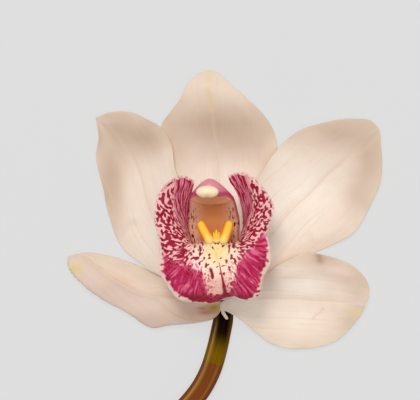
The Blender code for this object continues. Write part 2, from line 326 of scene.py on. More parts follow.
class Graph:
    """A material's nodes, and short ways of adding the kinds that the finishes use."""

    def __init__(self, name, roughness, specular):
        self.material = bpy.data.materials.new(name)
        self.material.use_nodes = True
        self.tree = self.material.node_tree
        self.shader = self.tree.nodes["Principled BSDF"]
        self.setting("Roughness", roughness)
        self.setting("Specular IOR Level", specular)

    def setting(self, name, value):
        self.shader.inputs[name].default_value = value

    def set_input(self, socket, value):
        if isinstance(value, bpy.types.NodeSocket):
            self.tree.links.new(value, socket)
        elif isinstance(value, tuple) and len(value) == 3 and socket.type == "RGBA":
            socket.default_value = (*value, 1.0)
        else:
            socket.default_value = value

    def node(self, kind, output=0, inputs=None, **settings):
        made = self.tree.nodes.new(kind)
        for name, value in settings.items():
            setattr(made, name, value)
        for name, value in (inputs or {}).items():
            self.set_input(made.inputs[name], value)
        return made.outputs[output]

    def field(self, name):
        return self.node("ShaderNodeAttribute", output="Fac", attribute_name=name)

    def maths(self, kind, first, second, third=0.0):
        return self.node("ShaderNodeMath", inputs={0: first, 1: second, 2: third}, operation=kind)

    def times(self, first, second):
        return self.maths("MULTIPLY", first, second)

    def bend(self, value, noise, reach):
        """The value pushed to and fro by up to about half the reach."""
        return self.maths("MULTIPLY_ADD", self.maths("SUBTRACT", noise, 0.5), reach, value)

    def step(self, value, low, high, to_low=0.0, to_high=1.0):
        inputs = {"Value": value, "From Min": low, "From Max": high, "To Min": to_low, "To Max": to_high}
        return self.node("ShaderNodeMapRange", inputs=inputs, interpolation_type="SMOOTHSTEP")

    # A mix node takes its two colours at sockets 6 and 7, and its two values at 2 and 3
    def mix(self, share, first, second):
        inputs = {"Factor": share, 6: first, 7: second}
        return self.node("ShaderNodeMix", output=2, inputs=inputs, data_type="RGBA")

    def mix_values(self, share, first, second):
        return self.node("ShaderNodeMix", inputs={0: share, 2: first, 3: second}, data_type="FLOAT")

    def tint(self, colour, field, second, strength=1.0):
        """The colour, turned towards a second one where the field says so."""
        share = self.field(field)
        if strength != 1.0:
            share = self.times(share, strength)
        return self.mix(share, colour, second)

    def vector(self, x, y):
        return self.node("ShaderNodeCombineXYZ", inputs={"X": x, "Y": y})

    def place(self):
        return self.node("ShaderNodeTexCoord", output="Object")

    def noise(self, vector, scale, detail=2.0, roughness=0.5):
        inputs = {"Vector": vector, "Scale": scale, "Detail": detail, "Roughness": roughness}
        return self.node("ShaderNodeTexNoise", inputs=inputs)

    def bump(self, height, distance, strength, under=None):
        inputs = {"Height": height, "Distance": distance, "Strength": strength}
        if under is not None:
            inputs["Normal"] = under
        return self.node("ShaderNodeBump", inputs=inputs)

    def finish(self, colour, normal=None):
        self.set_input(self.shader.inputs["Base Color"], colour)
        if normal is not None:
            self.set_input(self.shader.inputs["Normal"], normal)
        return self.material

    def flesh(self, weight, radius, scale):
        """Light that passes a little way through the tissue."""
        self.setting("Subsurface Weight", weight)
        self.setting("Subsurface Radius", radius)
        self.setting("Subsurface Scale", scale)


def linear(red, green, blue):
    """A colour as it is seen, 0 to 255, as linear light."""
    parts = []
    for value in (red, green, blue):
        share = value / 255.0
        parts.append(share / 12.92 if share <= 0.04045 else ((share + 0.055) / 1.055) ** 2.4)
    return tuple(parts)


TEPAL_CREAM = linear(237, 219, 201)
TEPAL_BLUSH = linear(228, 202, 184)
TEPAL_PAINTED_LIGHT = linear(255, 244, 230)
TEPAL_PAINTED_SHADE = linear(181, 153, 126)
TEPAL_GREY = linear(214, 196, 172)
TEPAL_BLOTCH = linear(196, 84, 72)
TEPAL_VEIN = linear(222, 194, 168)
TEPAL_TIP = linear(226, 204, 128)
TEPAL_STAIN = linear(172, 128, 72)
TEPAL_BASE = linear(178, 150, 20)
TEPAL_BACK = linear(232, 200, 186)


def tepal_material(name, warmth):
    """Waxy tissue: cream with a soft blush, greyer towards the margin, partly its own tone and partly
    painted shade, with faint veins along it, a pool of painted light round the middle of the bloom and soft
    patches of painted shade.
    """
    graph = Graph(name, roughness=0.5, specular=0.28)
    graph.flesh(0.14, (1.0, 0.66, 0.46), 0.0014)
    graph.setting("Sheen Weight", 0.05)
    along = graph.field("along_mm")
    across = graph.field("across_mm")
    place = graph.place()
    broad = graph.noise(place, 48.0)
    colour = graph.mix(graph.step(broad, 0.42, 0.68, 0.0, 0.45 * warmth), TEPAL_CREAM, TEPAL_BLUSH)
    colour = graph.tint(colour, "blush", TEPAL_BLUSH, 0.5 * warmth)
    # Painted light, paler where the field says so
    colour = graph.tint(colour, "glow", TEPAL_PAINTED_LIGHT, 0.85)
    # Greyer towards the margin: partly the tissue's own tone, partly painted shade
    colour = graph.tint(colour, "edge", TEPAL_GREY, 0.6)
    # Soft patches of painted shade darken the cream
    colour = graph.tint(colour, "tan", TEPAL_PAINTED_SHADE, 0.85)
    vein = graph.noise(graph.vector(across, graph.times(along, 0.03)), 0.85, detail=1.0)
    colour = graph.mix(graph.step(vein, 0.55, 0.72, 0.0, 0.28), colour, TEPAL_VEIN)
    fine = graph.noise(graph.vector(across, graph.times(along, 0.08)), 2.8, detail=1.0)
    colour = graph.mix(graph.step(fine, 0.5, 0.8, 0.0, 0.16), colour, TEPAL_VEIN)
    colour = graph.tint(colour, "midrib", TEPAL_VEIN, 0.42)
    colour = graph.tint(colour, "back", TEPAL_BACK, 0.45)
    colour = graph.tint(colour, "base", TEPAL_BASE)
    colour = graph.tint(colour, "tip", TEPAL_TIP)
    colour = graph.tint(colour, "stain", TEPAL_STAIN)
    colour = graph.tint(colour, "blotch", TEPAL_BLOTCH)
    cells = graph.noise(place, 1900.0, roughness=0.7)
    colour = graph.mix(graph.step(cells, 0.5, 0.75, 0.0, 0.12), colour, TEPAL_GREY)
    normal = graph.bump(vein, 0.0001, 0.35)
    normal = graph.bump(fine, 0.00003, 0.4, normal)
    normal = graph.bump(cells, 0.00003, 0.45, normal)
    return graph.finish(colour, normal)


# Sepals and petals


def tepal_columns():
    """Places of the columns across a tepal, closer together towards both margins."""
    even = np.linspace(0.0, 1.0, TEPAL_COLUMNS)
    return even - EDGE_CROWDING * np.sin(2.0 * math.pi * even) / (2.0 * math.pi)


def tepal_surface(ribs):
    """The middle surface over ribs from the base to one tip: its real points, and its points as seen."""
    along = np.linspace(0.0, TIP_PLACE, TEPAL_ROWS)
    across = tepal_columns()
    curves = np.array([spline(rib, along) for rib in ribs])
    seen = np.array([spline(curves[:, k], across) for k in range(TEPAL_ROWS)])
    return from_seen(seen), seen


def tepal(name, ribs, details, tan, finish, slot, seed, groove, middle=0.5, ripple=0.22, margin=0.28):
    """A sepal or petal from its ribs, with undulations, a grooved midrib, faint pleats and a thin margin.
    details adds what only this tepal has, its list of patches gives soft ovals of painted shade, and middle
    is the midrib's place."""
    centre, seen = tepal_surface(ribs)
    x, y = seen[..., 0], seen[..., 1]
    normals = grid_normals(centre)
    along = lengths_along(centre, 0)
    row_lengths = lengths_along(centre, 1)
    mid_column = int(np.argmin(np.abs(tepal_columns() - middle)))
    across = row_lengths - row_lengths[:, mid_column : mid_column + 1]
    to_edge = np.minimum(row_lengths, row_lengths[:, -1:] - row_lengths)
    place = np.linspace(0.0, 1.0, TEPAL_ROWS)[:, None]
    settled = ease(0.0, 0.12, place)
    lift = ripple * waves(x, y, 21.0, seed) * settled
    lift += 0.45 * ripple * waves(x, y, 8.5, seed + 1) * np.exp(-to_edge / 2.5) * settled
    lift += 0.03 * waves(x, y, 5.0, seed + 2) * settled
    fade = ease(0.0, 0.1, place) * (1.0 - ease(0.75, 0.97, place))
    lift -= groove * hump(across, 0.0, 0.7) * fade
    lift += 0.4 * groove * (hump(across, 1.8, 1.1) + hump(across, -1.8, 1.1)) * fade
    lift += 0.012 * np.cos(across * 2.4 + 0.6 * waves(x, y, 20.0, seed + 3)) * settled
    lift -= 0.12 * np.exp(-to_edge / 0.8) * settled
    fields = {
        "along_mm": along,
        "across_mm": across,
        "midrib": hump(across, 0.0, 0.55) * fade,
        # Greyer towards the margin, partly its own tone and partly painted shade
        "edge": 0.7 * np.exp(-to_edge / 3.0) * settled,
        # A pool of painted light round the middle of the bloom
        "glow": hump(np.hypot(x - 1.0, y - 2.0), 0.0, 27.0),
        # Share of painted shade, from soft ovals
        "tan": patches_over(x, y, tan),
        "blush": ease(-0.6, 1.4, waves(x, y, 24.0, seed + 4)),
    }
    for mark in ("base", "blotch", "tip", "stain"):
        fields[mark] = np.zeros_like(x)
    lift += details(x, y, fields)
    centre = centre + normals * lift[..., None]
    thickness = margin + (1.2 - margin) * ease(0.0, 5.0, to_edge)
    return make_object(name, *sheet_parts(centre, thickness, fields), finish, slot, [name])


def dorsal_sepal(finish):
    tip = (-0.9, 49.5, 5.2)
    left = [
        around_apex(114, SEPAL_FOOT), (-6.6, 4.5, 5.0), (-11.6, 14.0, 3.8), (-14.6, 21.6, 2.8),
        (-15.7, 28.4, 2.8), (-14.9, 33.2, 3.8), (-11.7, 37.8, 5.4), (-9.3, 41.1, 6.1), (-7.3, 45.0, 6.2),
        (-3.6, 48.6, 5.6), tip,
    ]
    middle = [
        around_apex(92, SEPAL_FOOT), (2.5, 2.0, 4.4), (2.3, 12.0, 1.6), (2.1, 21.0, 0.5), (1.4, 30.0, 1.9),
        (0.4, 37.5, 4.6), (-0.5, 44.0, 6.3), tip,
    ]
    right = [
        around_apex(70, SEPAL_FOOT), (10.5, 4.5, 4.6), (15.8, 14.0, 2.4), (18.7, 21.0, 1.6),
        (19.4, 27.0, 2.2), (17.9, 32.2, 3.8), (14.4, 37.2, 5.4), (9.6, 41.7, 6.1), (5.2, 45.5, 6.2),
        (2.1, 48.6, 5.6), tip,
    ]

    def details(x, y, fields):
        streak = line_gap(x, y, [(-1.2, 48.9), (-0.8, 44.0), (-0.3, 38.0)])
        fields["tip"] = 0.38 * hump(streak, 0.0, 0.9)
        return 0.15 * hump(streak, 0.0, 1.4)

    # Patches of painted shade: a band across the middle and patches at the sides
    tan = [
        (0.0, 32.4, 14.0, 8.2, 0.87), (-11.5, 27.0, 4.5, 9.0, 0.5), (9.0, 31.0, 6.0, 8.0, 0.4),
        (14.5, 26.0, 4.5, 8.0, 0.4), (1.0, 24.5, 9.0, 4.0, 0.25),
    ]
    return tepal("dorsal_sepal", [left, middle, right], details, tan, finish, "sepal", seed=11, groove=0.16)


def left_petal(finish):
    tip = (-34.8, 35.3, 5.6)
    upper = [
        around_apex(116, PETAL_FOOT), (-5.1, 3.0, 8.8), (-8.6, 11.5, 7.2), (-11.2, 20.0, 5.8),
        (-12.4, 27.6, 5.6), (-15.1, 32.0, 6.3), (-19.5, 34.6, 7.2), (-25.0, 36.7, 7.4), (-30.6, 36.8, 6.6),
        tip,
    ]
    middle = [
        around_apex(136, PETAL_FOOT), (-10.5, -1.0, 6.4), (-19.0, 9.6, 2.4), (-25.3, 18.0, 0.5),
        (-30.4, 27.0, 2.2), tip,
    ]
    lower = [
        around_apex(158, PETAL_FOOT), (-9.0, -12.6, 8.4), (-15.9, -11.7, 6.9), (-22.5, -7.6, 5.0),
        (-27.2, -3.2, 3.6), (-30.3, 4.2, 3.0), (-32.6, 14.2, 3.2), (-34.5, 23.0, 4.0), (-33.9, 29.7, 5.0),
        tip,
    ]

    def details(x, y, fields):
        dimple = line_gap(x, y, [(-23.7, 2.7), (-26.7, -2.4)])
        return -0.7 * hump(dimple, 0.0, 1.6)

    # Patches of painted shade near the upper margin and along the outer side
    tan = [
        (-19.5, 29.4, 8.0, 6.0, 0.82), (-29.8, 19.0, 4.6, 11.0, 0.7), (-32.0, 12.0, 4.5, 9.0, 0.5),
        (-28.0, 32.0, 6.0, 5.0, 0.5), (-29.5, 5.0, 3.5, 8.0, 0.4),
    ]
    return tepal("left_petal", [upper, middle, lower], details, tan, finish, "petal", seed=23, groove=0.07)


def right_petal(finish):
    tip = (50.3, 31.6, 5.4)
    upper = [
        around_apex(66, PETAL_FOOT), (8.4, 3.6, 8.6), (12.2, 12.0, 7.0), (15.9, 20.4, 5.6),
        (20.2, 26.2, 5.6), (26.3, 31.2, 6.4), (33.6, 33.6, 7.2), (42.0, 34.8, 7.2), (47.6, 34.2, 6.2), tip,
    ]
    middle = [
        around_apex(44, PETAL_FOOT), (12.4, -3.2, 6.4), (20.0, 3.4, 3.2), (27.6, 9.8, 1.0),
        (34.6, 15.2, 0.5), (42.4, 22.0, 1.9), tip,
    ]
    lower = [
        around_apex(24, PETAL_FOOT), (12.4, -11.4, 6.2), (18.4, -12.0, 3.4), (24.6, -9.2, 2.0),
        (30.4, -5.5, 1.6), (36.6, -2.7, 2.0), (42.3, 0.6, 2.8), (47.1, 8.2, 3.6), (50.4, 16.0, 4.4),
        (51.0, 22.0, 5.0), (50.6, 28.2, 5.4), tip,
    ]

    def details(x, y, fields):
        # Wider pools of painted light on this petal
        fields["glow"] = patches_over(x, y, [(10.0, 4.0, 14.0, 12.0, 0.9), (26.0, 14.0, 13.0, 12.0, 0.9)])
        fold = line_gap(x, y, [(29.4, -0.6), (30.3, -4.2)])
        return -0.5 * hump(fold, 0.0, 0.9)

    # Patches of painted shade near the upper margin and the tip
    tan = [
        (38.0, 31.0, 9.0, 4.5, 0.6), (47.5, 23.0, 5.0, 10.0, 0.65), (44.0, 12.0, 4.5, 6.0, 0.45),
        (24.0, 29.0, 6.0, 4.0, 0.25),
    ]
    return tepal("right_petal", [upper, middle, lower], details, tan, finish, "petal", seed=37, groove=0.08)


def left_lateral_sepal(finish):
    """Its lower margin rolls forward and inwards, so its back shows from the tip to near the stalk."""
    tip = (-43.0, -6.6, 6.4)
    upper = [
        around_apex(164, SEPAL_FOOT), (-8.0, -15.4, 5.4), (-15.6, -12.4, 3.9), (-22.2, -9.3, 2.6),
        (-30.3, -6.6, 3.6), (-38.0, -5.5, 5.4), tip,
    ]
    channel = [
        around_apex(210, SEPAL_FOOT), (-7.6, -19.6, 3.8), (-15.0, -19.0, 2.0), (-22.5, -16.0, 1.6),
        (-30.0, -12.6, 2.6), (-37.4, -8.6, 4.6), tip,
    ]
    bottom = [
        around_apex(268, SEPAL_FOOT + 0.2), (2.2, -22.6, 7.7), (0.2, -24.6, 7.2), (-6.8, -26.2, 5.0),
        (-13.0, -26.6, 3.4), (-18.0, -27.3, 3.0), (-24.3, -23.4, 3.4), (-33.6, -18.2, 4.0),
        (-39.4, -13.6, 4.8), (-42.6, -9.6, 5.8), tip,
    ]
    rim = [
        around_apex(270, SEPAL_FOOT + 0.4), (2.4, -22.5, 8.0), (0.4, -24.5, 7.6), (-6.6, -25.8, 6.6),
        (-13.2, -22.8, 6.7), (-16.0, -19.0, 7.5), (-23.0, -17.1, 7.8), (-31.2, -12.3, 7.6),
        (-36.4, -8.2, 7.3), (-40.0, -6.2, 6.8), tip,
    ]

    def details(x, y, fields):
        fields["tip"] = patches_over(x, y, [(-41.1, -9.8, 2.6, 1.7, 0.7)])
        # Patches of painted light on this sepal
        fields["glow"] = patches_over(x, y, [(-18.5, -18.0, 6.0, 4.0, 0.8), (-8.0, -20.0, 6.0, 4.0, 0.5)])
        fields["base"] = patches_over(x, y, [(0.7, -21.8, 2.7, 2.0, 0.95)])
        red = [(-5.0, -22.6, 5.0, 2.4, 0.12), (-1.8, -23.2, 2.4, 0.8, 0.6), (-2.8, -21.9, 1.6, 0.5, 0.6)]
        fields["blotch"] = patches_over(x, y, red)
        return np.zeros_like(x)

    # Patches of painted shade along the rolled lower part
    tan = [(-18.6, -25.5, 7.0, 2.6, 0.55), (-31.0, -17.5, 9.0, 3.0, 0.3)]
    ribs = [upper, channel, bottom, rim]
    look = {"seed": 41, "middle": 0.3, "ripple": 0.1, "groove": 0.0, "margin": 0.45}
    return tepal("left_lateral_sepal", ribs, details, tan, finish, "sepal", **look)


def right_lateral_sepal(finish):
    tip = (45.8, -21.6, 3.8)
    upper = [
        around_apex(20, SEPAL_FOOT), (12.0, -12.7, 5.8), (16.6, -11.3, 5.4), (20.7, -8.6, 5.4),
        (25.6, -6.3, 5.2), (30.4, -5.5, 4.9), (36.8, -7.0, 4.6), (42.9, -9.9, 4.6), (46.6, -14.4, 4.5),
        (47.1, -18.2, 4.2), tip,
    ]
    middle = [
        around_apex(-30, SEPAL_FOOT), (11.6, -18.0, 5.2), (20.4, -19.6, 2.0), (28.8, -21.6, 0.5),
        (37.4, -22.4, 1.2), tip,
    ]
    lower = [
        around_apex(-88, SEPAL_FOOT + 0.2), (3.2, -22.2, 7.8), (5.6, -23.4, 7.4), (9.2, -25.7, 6.6),
        (13.4, -29.2, 4.9), (18.4, -32.7, 3.7), (24.0, -34.0, 3.1), (31.5, -33.6, 2.8), (37.8, -31.3, 2.8),
        (42.4, -26.8, 3.2), (44.9, -23.4, 3.6), tip,
    ]

    def details(x, y, fields):
        mark = line_gap(x, y, [(32.0, -6.0), (32.4, -7.4)])
        scar = line_gap(x, y, [(33.2, -22.4), (32.0, -23.6), (30.8, -24.4), (30.2, -25.4)])
        ridge = line_gap(x, y, [(21.6, -11.1), (26.4, -10.8), (32.7, -10.5), (41.1, -12.3)])
        fields["stain"] = 0.6 * hump(mark, 0.0, 1.1) + 0.24 * hump(scar, 0.0, 0.3)
        # Painted light, partly laid over the lip's shadow on this sepal
        light = [(12.0, -21.5, 9.0, 7.0, 1.0), (27.0, -26.0, 8.0, 5.0, 0.5), (27.5, -14.5, 8.0, 5.0, 0.9)]
        fields["glow"] = patches_over(x, y, light)
        fields["tip"] = 0.5 * np.exp(-(((x - 43.2) / 3.0) ** 2) - ((y + 23.2) / 1.0) ** 2)
        return 0.35 * hump(ridge, 0.0, 1.5) - 0.12 * hump(scar, 0.0, 0.5)

    # Patches of painted shade by the brown mark, near the tip and along the outer margin
    tan = [(32.5, -7.5, 5.0, 3.0, 0.45), (42.0, -26.5, 5.0, 4.5, 0.45), (44.5, -15.0, 4.5, 6.0, 0.4)]
    ribs = [upper, middle, lower]
    return tepal("right_lateral_sepal", ribs, details, tan, finish, "sepal", seed=53, groove=0.1)


# Lip

# The lip's middle line, where its fan of veins is measured, how far apart the veins of its two sides are
# read, and the spread of a noise texture's values, from which a share of cover gives a threshold
LIP_MIDDLE = 0.9
FAN_PLACE = 0.6
VEIN_SHIFT = 40.0
NOISE_SPREAD = 0.125
LOGIT_SPREAD = 1.7

LIP_GROUND = linear(240, 184, 180)
LIP_DULL = linear(204, 118, 138)
LIP_ROSE = linear(216, 96, 130)
LIP_WINE = linear(146, 6, 40)
LIP_PALE = linear(255, 232, 214)
LIP_CREAM = linear(254, 226, 140)
LIP_PEACH = linear(246, 170, 140)
LIP_RIM = linear(238, 204, 192)
LIP_PIGMENT = linear(156, 14, 50)
LIP_MAGENTA = linear(190, 34, 84)
LIP_BACK = linear(222, 170, 172)
KEEL_ORANGE = linear(240, 146, 0)
KEEL_YELLOW_HIGHLIGHT = linear(255, 200, 66)


# The bold marks in the middle of the lip, each a short line as seen
LIP_MARKS = [
    [(-0.3, -10.5), (0.3, -12.5)], [(5.1, -10.3), (5.3, -10.8)], [(4.2, -8.0), (4.4, -8.3)],
    [(-1.6, -9.1), (-1.5, -9.6)], [(-3.6, -3.9), (-3.5, -5.6)], [(6.3, -2.8), (6.5, -4.2)],
    [(-6.3, -2.6), (-6.2, -3.0)], [(-6.2, -5.6), (-6.1, -6.0)], [(9.0, -2.6), (9.3, -3.2)],
    [(-9.2, -4.8), (-8.4, -5.4)],
]


def lip_surface():
    """The lip's middle surface. Guides run round it from its left back edge to its right back edge, and the
    lines from its deep base out to its margin cross them, as its veins do."""
    base = [
        (-1.2, -14.6, 9.9), (0.2, -17.4, 9.9), (2.7, -18.6, 9.9), (5.2, -17.4, 9.9), (6.6, -14.6, 9.9),
    ]
    sill = [
        (-7.2, -7.0, 16.6), (-5.0, -4.6, 21.0), (1.2, -1.2, 25.6), (7.2, -4.6, 21.0), (8.8, -7.0, 16.6),
    ]
    throat = [
        (-8.1, 1.5, 22.0), (-7.0, -1.6, 25.0), (-4.2, -3.6, 29.0), (1.0, -4.6, 31.4), (6.0, -3.6, 29.0),
        (8.6, -1.4, 25.0), (9.4, 2.0, 22.0),
    ]
    middle = [
        (-7.7, 10.0, 25.6), (-9.6, 10.6, 27.0), (-12.0, 6.0, 28.2), (-11.6, 0.4, 29.2), (-10.4, -5.6, 31.6),
        (-6.4, -10.4, 33.6), (1.0, -12.2, 34.6), (7.6, -10.4, 33.6), (11.6, -5.0, 31.6), (12.6, 0.6, 29.2),
        (13.2, 6.6, 28.2), (11.0, 11.2, 27.0), (8.4, 10.6, 25.6),
    ]
    margin = [
        (-6.0, 16.2, 27.0), (-8.2, 17.5, 28.4), (-12.3, 16.5, 29.8), (-15.9, 12.0, 30.6),
        (-17.1, 5.0, 30.8), (-15.7, -2.9, 29.6), (-16.2, -7.8, 29.4), (-14.1, -14.7, 29.0),
        (-8.8, -19.6, 28.6), (-1.2, -20.4, 28.6), (6.6, -18.7, 28.8), (11.6, -19.8, 28.6),
        (14.4, -18.0, 28.8), (15.2, -13.2, 29.2), (17.9, -7.2, 29.4), (16.5, 0.6, 29.6), (18.3, 7.6, 30.8),
        (16.2, 12.9, 30.6), (11.4, 17.7, 29.8), (7.6, 18.4, 28.4), (4.8, 17.6, 27.0),
    ]
    around = np.linspace(0.0, 1.0, LIP_ROWS)
    outwards = np.interp(np.linspace(0.0, 1.0, LIP_COLUMNS), [0.0, 0.2, 1.0], [0.0, 0.42, 1.0])
    guides = np.array([spline(guide, around) for guide in (base, sill, throat, middle, margin)])
    seen = np.array([spline(guides[:, k], outwards) for k in range(LIP_ROWS)])
    return from_seen(seen), seen


def lip_zones(x, y, edge_mm):
    """How the lip's markings change over it, at points as seen: the share under pigment, and its zones.
    front is the distance past the line where the rays of the midlobe begin."""
    side = np.abs(x - LIP_MIDDLE)
    lobe = ease(5.0, 9.0, side + 0.25 * np.clip(y, 0.0, None))
    inner = (1.0 - ease(4.0, 8.0, edge_mm)) * ease(-1.0, 3.0, y)
    left = [
        (-19.0, -2.2), (-15.2, -5.2), (-11.4, -8.2), (-6.2, -9.8), (-3.2, -11.0), (-2.0, -13.6),
        (-1.0, -17.0),
    ]
    right = [(5.2, -17.0), (6.4, -13.4), (7.4, -8.8), (9.8, -6.2), (12.6, -3.4), (15.2, 0.2), (19.0, 2.4)]
    front = np.maximum(stroke_side(x, y, left), stroke_side(x, y, right))
    midlobe = ease(-1.0, 1.0, front)
    midlobe = np.maximum(midlobe, ease(-16.4, -18.0, y))
    cover = 0.19 + 0.12 * ease(2.5, 6.0, side)
    cover = np.maximum(cover, 0.63 * lobe)
    cover = np.maximum(cover * (1.0 - inner), 0.57 * inner)
    cover = cover * (1.0 - 0.8 * np.exp(-(((x - 1.8) / 2.8) ** 2) - ((y + 6.4) / 2.6) ** 2))
    wedge = hump(x, 1.4, 4.6) * ease(-8.0, -10.0, y)
    cover = cover * (1.0 - 0.7 * wedge)
    cover = np.maximum(cover, midlobe * (0.87 + 0.1 * ease(-15.5, -17.5, y)))
    dust = hump(front, -0.6, 2.0) * ease(-6.0, -9.0, y)
    return cover, {"lobe": lobe, "inner": inner, "midlobe": midlobe, "dust": dust}


def lip_material():
    """Pigment in veins, blotches, spots and streaks that fan out from the throat, on a pale ground."""
    graph = Graph("lip_tissue", roughness=0.5, specular=0.14)
    graph.flesh(0.1, (1.0, 0.5, 0.45), 0.0010)
    graph.setting("Sheen Weight", 0.02)
    place = graph.place()
    fan = graph.field("fan_mm")
    out = graph.field("out_mm")
    lobe = graph.field("lobe")
    inner = graph.field("inner")
    midlobe = graph.field("midlobe")
    wander = graph.noise(place, 260.0, detail=1.0)

    def grain(across, across_scale, along_scale, detail=0.6):
        vector = graph.vector(graph.times(across, across_scale), graph.times(out, along_scale))
        return graph.noise(vector, 1.0, detail=detail)

    stirred_x = graph.maths("MULTIPLY_ADD", wander, 0.6, graph.field("flat_x"))
    flat = graph.vector(graph.times(stirred_x, 1.05), graph.times(graph.field("flat_y"), 0.9))
    spots = graph.noise(flat, 1.0, detail=0.5)
    blotches = grain(graph.bend(fan, wander, 2.4), 1.7, 0.8)
    veins = grain(graph.bend(graph.field("vein_mm"), wander, 0.9), 4.2, 0.2, detail=1.0)
    streaks = grain(graph.bend(fan, wander, 0.7), 2.3, 0.2, detail=2.0)
    field = graph.mix_values(lobe, spots, blotches)
    field = graph.mix_values(inner, field, veins)
    field = graph.mix_values(graph.times(midlobe, 0.75), field, streaks)
    level = graph.maths("SUBTRACT", field, graph.field("threshold"))
    softness = graph.step(midlobe, 0.2, 1.0, 0.022, 0.075)
    mask = graph.step(graph.maths("DIVIDE", level, softness), -1.0, 1.0)
    mottle = graph.noise(place, 650.0)
    ground = graph.mix(lobe, LIP_PALE, LIP_GROUND)
    ground = graph.tint(ground, "inner", LIP_DULL, 0.9)
    ground = graph.tint(ground, "midlobe", LIP_ROSE, 0.85)
    ground = graph.tint(ground, "peach", LIP_PEACH)
    ground = graph.tint(ground, "cream", LIP_CREAM)
    ground = graph.mix(graph.step(mottle, 0.45, 0.75, 0.0, 0.25), ground, LIP_GROUND)
    ray = graph.mix(graph.step(streaks, 0.36, 0.5), LIP_ROSE, LIP_MAGENTA)
    ray = graph.mix(graph.step(streaks, 0.52, 0.66, 0.0, 0.85), ray, LIP_WINE)
    dark = graph.mix(midlobe, LIP_PIGMENT, ray)
    dark = graph.tint(dark, "foot", LIP_WINE)
    speckle = graph.noise(place, 1300.0, detail=1.0)
    dark = graph.mix(graph.step(speckle, 0.5, 0.7, 0.0, 0.16), dark, LIP_ROSE)
    colour = graph.mix(mask, ground, dark)
    dust = graph.noise(place, 1500.0, detail=1.0)
    dust = graph.times(graph.step(dust, 0.5, 0.6), graph.field("dust"))
    colour = graph.mix(graph.times(dust, 0.8), colour, LIP_ROSE)
    colour = graph.tint(colour, "rim", LIP_RIM)
    colour = graph.tint(colour, "line", LIP_PIGMENT)
    colour = graph.tint(colour, "back", LIP_BACK, 0.85)
    velvet = graph.noise(place, 2000.0, roughness=0.7)
    normal = graph.bump(mask, 0.00004, 0.3)
    normal = graph.bump(velvet, 0.00004, 0.5, normal)
    return graph.finish(colour, normal)


def lip(finish):
    centre, seen = lip_surface()
    x, y = seen[..., 0], seen[..., 1]
    normals = grid_normals(centre)
    outward = lengths_along(centre, 1)
    to_margin = outward[:, -1:] - outward
    around = lengths_along(centre, 0)
    to_edge = np.minimum(to_margin, np.minimum(around, around[-1:] - around))
    edge_mm = np.minimum(around, around[-1:] - around)
    cover, zones = lip_zones(x, y, edge_mm)
    fan_column = int(FAN_PLACE * LIP_COLUMNS)
    fan = around[:, fan_column : fan_column + 1] + 0.0 * x
    ruffle = ease(6.0, 0.0, to_margin)
    lift = 0.22 * waves(x, y, 7.0, 83) * ruffle
    lift += 0.06 * waves(x, y, 2.6, 84) * ease(1.0, 4.0, outward)
    lift -= 0.35 * np.exp(-to_margin / 0.8)
    groove = line_gap(x, y, [(1.6, -4.0), (2.2, -8.4), (4.0, -18.0)])
    lift -= 0.5 * hump(groove, 0.0, 0.9) * ease(0.0, 3.0, to_margin)
    lift += 0.35 * hump(groove, 2.6, 1.3) * ease(0.0, 3.0, to_margin)
    corners = ease(-2.0, -6.0, y) * ease(6.5, 9.5, np.abs(x - 2.0))
    rim_width = 0.16 + 0.26 * ease(-18.0, -14.0, y) + 1.1 * corners
    ragged = 0.30 * waves(x, y, 1.6, 85) * (0.4 + corners)
    rim = 1.0 - ease(0.75, 1.25, (to_margin + ragged) / rim_width)
    centre_patch = np.hypot((x - 1.6) / 4.2, (y + 5.6) / 3.8)
    stripe = line_gap(x, y, [(2.1, -8.4), (2.7, -11.0), (3.4, -14.4), (4.0, -17.8)])
    stripe_width = np.interp(-y, [8.0, 12.0, 18.0], [0.18, 0.5, 1.05])
    marks = np.min([line_gap(x, y, mark) for mark in LIP_MARKS], axis=0)
    line = np.maximum(
        (1.0 - ease(0.7, 1.2, stripe / stripe_width)) * (y < -7.0),
        1.0 - ease(0.22, 0.46, marks + 0.12 * waves(x, y, 1.4, 87)),
    )
    edge_dots = hump(to_margin, 0.2, 0.22) * ease(0.1, 0.6, waves(x, y, 1.2, 86))
    line = np.maximum(line, 0.75 * edge_dots * ease(-3.0, 1.0, y))
    shown = np.clip(cover * (1.0 - ease(0.0, 1.0, rim)), 0.002, 0.995)
    fields = {
        "fan_mm": fan,
        "vein_mm": 0.5 * edge_mm + 0.5 * np.minimum(fan, fan[-1:] - fan) + VEIN_SHIFT * (x > LIP_MIDDLE),
        "out_mm": outward,
        "flat_x": x,
        "flat_y": y,
        "threshold": 0.5 - NOISE_SPREAD * np.log(shown / (1.0 - shown)) / LOGIT_SPREAD,
        "foot": ease(-16.6, -18.4, y) * zones["midlobe"],
        "cream": 0.85 * hump(centre_patch, 0.0, 1.0),
        "rim": rim,
        "line": line,
        "peach": 0.6 * ease(-9.0, -15.5, y),
        **zones,
    }
    centre = centre + normals * lift[..., None]
    beside_column = np.exp(-around / 1.5) * ease(6.0, 12.0, outward)
    centre[..., 0] += 0.55 * beside_column
    thickness = 0.4 + 0.7 * ease(0.0, 3.5, np.where(beside_column > 0.1, to_margin, to_edge))
    return make_object("lip", *sheet_parts(centre, thickness, fields), finish, "lip", ["lip"])


def keel_material():
    graph = Graph("callus", roughness=0.38, specular=0.4)
    graph.flesh(0.2, (1.0, 0.6, 0.2), 0.0012)
    ridge = graph.noise(graph.place(), 500.0)
    # The keels' upper side is paler yellow: partly their own colour, partly a painted highlight
    colour = graph.mix(graph.field("crown"), KEEL_ORANGE, KEEL_YELLOW_HIGHLIGHT)
    colour = graph.tint(colour, "foot", LIP_CREAM)
    return graph.finish(colour, graph.bump(ridge, 0.00008, 0.5))


